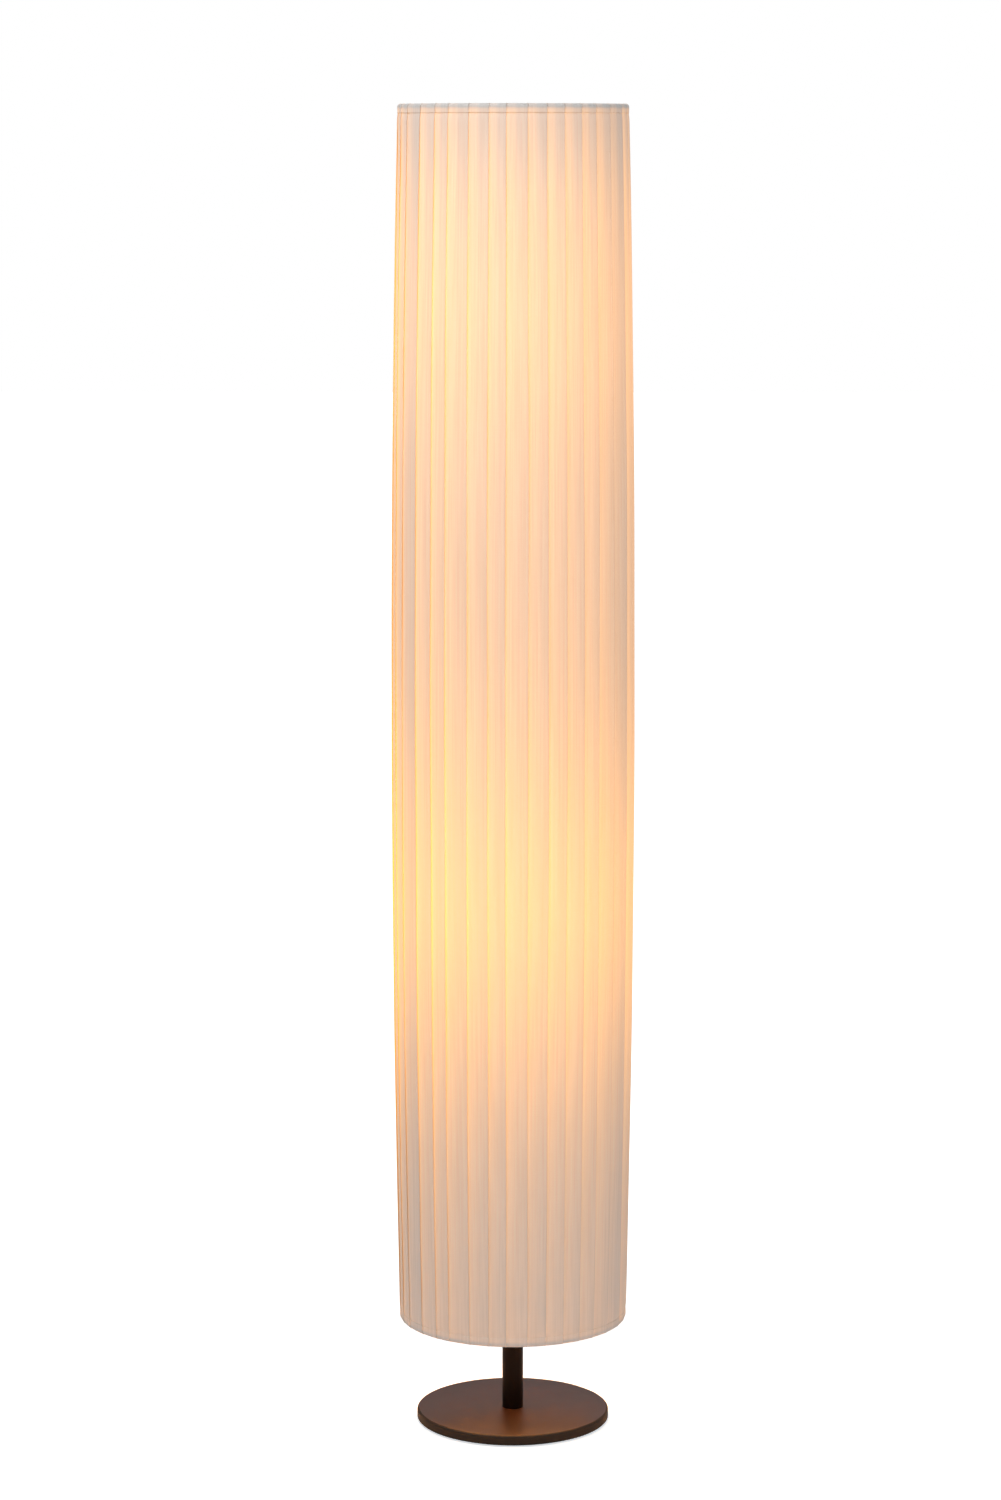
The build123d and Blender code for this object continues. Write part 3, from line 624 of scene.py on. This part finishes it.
# the glow is the sum of both bells, times a share: the pleat's ramp times seam, tone and yarn,
# its difference from 1 scaled by the contrast, then shaded by wire, band, rim and holder
def pleatedCloth(name, s, inside=False):
    material, tree, shader = startMaterial(name)
    minus, plus, times, over, timesPlus = (
        {"operation": word} for word in ("SUBTRACT", "ADD", "MULTIPLY", "DIVIDE", "MULTIPLY_ADD")
    )
    place = addNode(tree, "ShaderNodeTexCoord").outputs["Object"]
    height = addNode(tree, "ShaderNodeSeparateXYZ", inputs={"Vector": place}).outputs["Z"]
    uv = addNode(tree, "ShaderNodeUVMap", {"uv_map": "cloth"}).outputs["UV"]
    phase = addNode(tree, "ShaderNodeSeparateXYZ", inputs={"Vector": uv}).outputs["X"]
    tone, seam, wire = (
        addNode(tree, "ShaderNodeAttribute", {"attribute_name": key}).outputs["Fac"]
        for key in ("tone", "seam", "wire")
    )
    yarn = {}
    for key in ("warp", "weft"):
        drawn = addNode(tree, "ShaderNodeMapping", inputs={"Vector": place, "Scale": s[key + "Drawn"]})
        streaks = {"Vector": drawn.outputs[0], "Scale": 1000 / s[key + "Mm"]}
        yarn[key] = addNode(tree, "ShaderNodeTexNoise", inputs=streaks).outputs["Fac"]
    # each bulb's bell: its peak over 1 plus the square of the distance over the reach
    both = 0.0
    for level, peak in ((bulbLow, s["lowPeak"]), (bulbHigh, s["highPeak"])):
        away = addNode(tree, "ShaderNodeMath", minus, {0: height, 1: level}).outputs[0]
        ratio = addNode(tree, "ShaderNodeMath", over, {0: away, 1: s["reach"]}).outputs[0]
        square = addNode(tree, "ShaderNodeMath", timesPlus, {0: ratio, 1: ratio, 2: 1.0}).outputs[0]
        bell = addNode(tree, "ShaderNodeMath", over, {0: peak, 1: square}).outputs[0]
        both = addNode(tree, "ShaderNodeMath", plus, {0: both, 1: bell}).outputs[0]
    # the fold under a pleat lies a little nearer or farther from one to the next
    rest = addNode(tree, "ShaderNodeMath", minus, {0: 1.0, 1: phase}).outputs[0]
    toned = addNode(tree, "ShaderNodeMath", times, {0: phase, 1: tone}).outputs[0]
    sway = addNode(tree, "ShaderNodeMath", times, {0: rest, 1: toned}).outputs[0]
    swayed = addNode(tree, "ShaderNodeMath", timesPlus, {0: sway, 1: s["sway"], 2: phase}).outputs[0]
    ramp = addNode(tree, "ShaderNodeValToRGB", inputs={"Fac": swayed})
    stops = ramp.color_ramp.elements
    while len(stops) < len(pleatGlow):
        stops.new(0.5)
    for stop, (at, value) in zip(stops, pleatGlow):
        stop.position = at
        stop.color = (value / 2, value / 2, value / 2, 1.0)  # half, because a ramp ends at 1
    reads = {"seam": seam, "tone": tone, **yarn, "contrast": both, "wire": wire}
    reads.update({"flat": height, "band": phase, "top": height, "low": height, "foldShade": phase})
    given = {}
    for key, value in reads.items():
        ends = dict(zip(rangeEnds, s[key + "Range"]))
        given[key] = addNode(tree, "ShaderNodeMapRange", inputs={"Value": value, **ends}).outputs["Result"]
    band = addNode(tree, "ShaderNodeMath", times, {0: given["band"], 1: given["flat"]}).outputs[0]
    steps = [(times, 2.0)]  # gives back the ramp's half
    steps += [(times, given[key]) for key in ("seam", "tone", "warp", "weft")]
    steps += [(minus, 1.0), (times, given["contrast"]), (plus, 1.0)]
    steps += [(times, given["wire"]), (plus, band), (times, given["top"]), (times, given["low"])]
    if inside:
        steps += [(times, s["insideGain"]), (plus, s["insideBase"])]
    share = ramp.outputs["Color"]
    for operation, value in steps + [(times, both)]:
        share = addNode(tree, "ShaderNodeMath", operation, {0: share, 1: value}).outputs[0]
    tree.links.new(share, shader.inputs["Emission Strength"])
    shader.inputs["Emission Color"].default_value = toLinear(s["insideGlow" if inside else "glow"])
    # base colour: streaks of thin yarn, and painted shade along each fold's edge
    yarnAndFoldShade = addNode(tree, "ShaderNodeMath", times, {0: yarn["warp"], 1: given["foldShade"]}).outputs[0]
    tones = {"Factor": yarnAndFoldShade, "A": toLinear(s["thin"]), "B": toLinear(s["white"])}
    mixed = addNode(tree, "ShaderNodeMix", {"data_type": "RGBA"}, tones)
    tree.links.new(mixed.outputs["Result"], shader.inputs["Base Color"])
    shader.inputs["Roughness"].default_value = s["matt"]
    shader.inputs["Specular IOR Level"].default_value = s["gloss"]
    threads = addNode(tree, "ShaderNodeMath", plus, {0: yarn["warp"], 1: yarn["weft"]}).outputs[0]
    ridge = {"Strength": s["weaveBump"], "Distance": s["weaveDepth"], "Height": threads}
    bump = addNode(tree, "ShaderNodeBump", inputs=ridge)
    tree.links.new(bump.outputs["Normal"], shader.inputs["Normal"])
    material.cycles.emission_sampling = "NONE"
    return material


cloth = pleatedCloth("pleatedPolyesterCloth", clothSet)
clothInside = pleatedCloth("pleatedPolyesterClothInside", clothSet, inside=True)
for index, node in enumerate(("shade_panel_right", "shade_panel_rear", "shade_panel_left")):
    panel, flatWidth, flatHeight = makeClothPanel(index, shadeSet)
    dress(cloth, panel)
    panel.data.materials.append(clothInside)
    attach(panel, "shade")
    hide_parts(node)
    print("pleated panel %d made, %.0f by %.0f mm flat" % (index + 1, flatWidth / mm, flatHeight / mm))

hemSet = {
    "layer": 0.3 * mm,
    "wrap": 112.5,  # degrees round the ring, inwards from the outer leg
    "turnRows": 16,
    "legRows": 6,
    "faceColumns": 9,
    "flatInside": 0.15,  # share of the pleats' step left at the inner edge
    "flatTurn": 0.3,  # more of it at the outside of the turn
    "flatLeg": 0.1,  # and more down the leg
    "shadowStart": 2.6 * mm,  # the wire's shadow, from this far short of the ring's middle
    "shadowLength": 3.2 * mm,
}


# a hem: the pleats' faces carried on round the ring's wire, flatter the further they go. Its
# profile is an arc and a straight leg, less each pleat's depth in steps times the share left there.
def makeHem(name, ring, side, s):
    low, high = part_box(ring)
    ringZ = (low.z + high.z) / 2
    reach = rimZ - ringZ if side > 0 else ringZ - shadeSet["bottom"]
    track = shadeSet["rimRadius"] - reach
    run = shadeSet["hemCover"] - reach
    turn = np.radians(np.linspace(s["wrap"], 0, s["turnRows"]))
    leg = np.linspace(0, 1, s["legRows"] + 1)[1:]
    profileR = np.concatenate([track + reach * np.cos(turn), 0 * leg + track + reach])
    profileZ = ringZ + side * np.concatenate([reach * np.sin(turn), -run * leg])
    flatTurn = s["flatInside"] + s["flatTurn"] * np.cos(turn / 2) ** 4
    flat = np.concatenate([flatTurn, s["flatInside"] + s["flatTurn"] + s["flatLeg"] * leg])
    shadow = np.clip((side * (profileZ - ringZ) + s["shadowStart"]) / s["shadowLength"], 0, 1)
    face = np.linspace(0, 1, s["faceColumns"])
    bulge, down = foldTurn()
    share = np.concatenate([face, 1 + shadeSet["fold"] * bulge])
    depth = (1 - share) + np.concatenate([0 * face, shadeSet["backDepth"] * down])
    height = np.array([1.0 if side > 0 else 0.0])
    angle, tones, seams = [], [], []
    for index in range(shadeSet["panels"]):
        plan = planPanel(index, shadeSet)
        edges = edgeAngles(plan, height, shadeSet)[0]
        for k, tone in enumerate(plan[1]):
            angle.append(edges[k] + share * (edges[k + 1] - edges[k]))
            tones.append(np.full(len(share), tone))
            seams.append(np.full(len(share), float(k == 0)))
    count = len(angle)
    angle = np.concatenate(angle)[None, :]
    shape = (len(profileR), angle.shape[1])
    radius = profileR[:, None] - shadeSet["step"] * flat[:, None] * np.tile(depth, count)[None, :]
    points = wrapRound(radius, np.broadcast_to(angle, shape), profileZ[:, None])
    phases = np.broadcast_to(np.tile(np.minimum(share, 1), count), shape)
    uvs = np.stack([phases, np.broadcast_to(shadow[:, None], shape)], -1)
    values = {
        "tone": np.broadcast_to(np.concatenate(tones), shape),
        "seam": np.broadcast_to(np.concatenate(seams), shape),
        "wire": np.broadcast_to(smoothStep(shadow)[:, None], shape),
    }
    if side > 0:  # keeps the normals outwards
        points, uvs, values = points[::-1], uvs[::-1], {key: array[::-1] for key, array in values.items()}
    hem = gridPiece(name, points, uvs, values, closeColumns=True)
    addWall(hem, s["layer"]).material_offset = 1
    return hem


for name, node, ring, side in (
    ("top_hem_cloth", "shade_top_hem", "shade_top_ring", 1),
    ("bottom_hem_cloth", "shade_bottom_hem", "shade_bottom_ring", -1),
):
    hem = makeHem(name, ring, side, hemSet)
    dress(cloth, hem)
    hem.data.materials.append(clothInside)
    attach(hem, "shade")
    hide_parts(node)
print("hems made")

# pale matt floor that keeps the shadow near the foot; seen by the camera it whitens with distance
floorSet = {
    "base": "e7e7e7",
    "glow": "f7fcff",  # evens out the warm light
    "matt": 0.9,
    "whitens": {"From Min": 0.15, "From Max": 1.0, "To Min": 0.68, "To Max": 1.1},  # m, strength
    "half": 15.0,  # m from the middle to an edge
    "below": 0.2 * mm,
}


def makeFloor(s):
    material, tree, shader = startMaterial("paleFloor")
    shader.inputs["Base Color"].default_value = toLinear(s["base"])
    shader.inputs["Roughness"].default_value = s["matt"]
    shader.inputs["Specular IOR Level"].default_value = 0.0
    shader.inputs["Emission Color"].default_value = toLinear(s["glow"])
    seen = addNode(tree, "ShaderNodeLightPath").outputs["Is Camera Ray"]
    place = addNode(tree, "ShaderNodeTexCoord").outputs["Object"]
    away = addNode(tree, "ShaderNodeVectorMath", {"operation": "LENGTH"}, {0: place}).outputs["Value"]
    white = addNode(tree, "ShaderNodeMapRange", inputs={"Value": away, **s["whitens"]}).outputs["Result"]
    lift = addNode(tree, "ShaderNodeMath", {"operation": "MULTIPLY"}, {0: seen, 1: white}).outputs[0]
    tree.links.new(lift, shader.inputs["Emission Strength"])
    x, y = np.meshgrid([-s["half"], s["half"]], [-s["half"], s["half"]])
    floor = gridPiece("floor", np.stack([x, y, np.full(x.shape, floorZ - s["below"])], -1))
    floor.data.materials.append(material)


# diffuse rays find a dim room, glossy rays a brighter one, the camera plain white
roomSet = {"colour": "ffffff", "diffuse": 0.19, "glossy": 0.28, "seen": 1.0}


def makeWorld(s):
    world = bpy.data.worlds.new("studio")
    scene.world = world
    world.use_nodes = True
    tree = world.node_tree
    tree.nodes.clear()
    path = addNode(tree, "ShaderNodeLightPath")
    shine = {"Value": path.outputs["Is Glossy Ray"], "To Min": s["diffuse"], "To Max": s["glossy"]}
    lit = addNode(tree, "ShaderNodeMapRange", inputs=shine).outputs["Result"]
    colour = toLinear(s["colour"])
    soft = addNode(tree, "ShaderNodeBackground", inputs={"Color": colour, "Strength": lit})
    white = addNode(tree, "ShaderNodeBackground", inputs={"Color": colour, "Strength": s["seen"]})
    ways = {0: path.outputs["Is Camera Ray"], 1: soft.outputs[0], 2: white.outputs[0]}
    mix = addNode(tree, "ShaderNodeMixShader", inputs=ways)
    addNode(tree, "ShaderNodeOutputWorld", inputs={"Surface": mix.outputs[0]})


lightSet = {
    "keyLeft": {"at": (-0.95, -1.2, 2.15), "aim": (0, 0, 1.1), "size": 1.0, "watts": 14.8},
    "fillRight": {"at": (1.35, -1.2, 1.85), "aim": (0, 0, 1.0), "size": 1.2, "watts": 12.2},
    "sideLeft": {"at": (-1.2, -0.2, 2.0), "aim": (0, 0, 0.9), "size": 0.8, "watts": 4.6},
    "backTop": {"at": (0.2, 1.8, 2.0), "aim": (0, 0, 0.8), "size": 1.6, "watts": 12.0},
    # stands for the light that falls out of the shade's open bottom on to the foot
    "shadeMouth": {
        "at": (0, 0, 0.2),
        "aim": (0, 0, 0),
        "size": 0.15,
        "watts": 1.15,
        "colour": "ffa654",
        "body": "shade",
    },
}


# round lamps, each turned from straight down by the angles to its aim
def makeLights(s):
    for name, one in s.items():
        data = bpy.data.lights.new(name, "AREA")
        data.shape = "DISK"
        data.energy = one["watts"]
        data.size = one["size"]
        data.color = toLinear(one.get("colour", "ffffff"))[:3]
        lamp = bpy.data.objects.new(name, data)
        lamp.location = one["at"]
        dx, dy, dz = (b - a for a, b in zip(one["at"], one["aim"]))
        lamp.rotation_euler = (math.atan2(math.hypot(dx, dy), -dz), 0.0, math.atan2(dy, dx) - math.pi / 2)
        lamp.visible_camera = False
        scene.collection.objects.link(lamp)
        if "body" in one:
            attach(lamp, one["body"])


makeFloor(floorSet)
makeWorld(roomSet)
makeLights(lightSet)
print("floor, room and lights set")
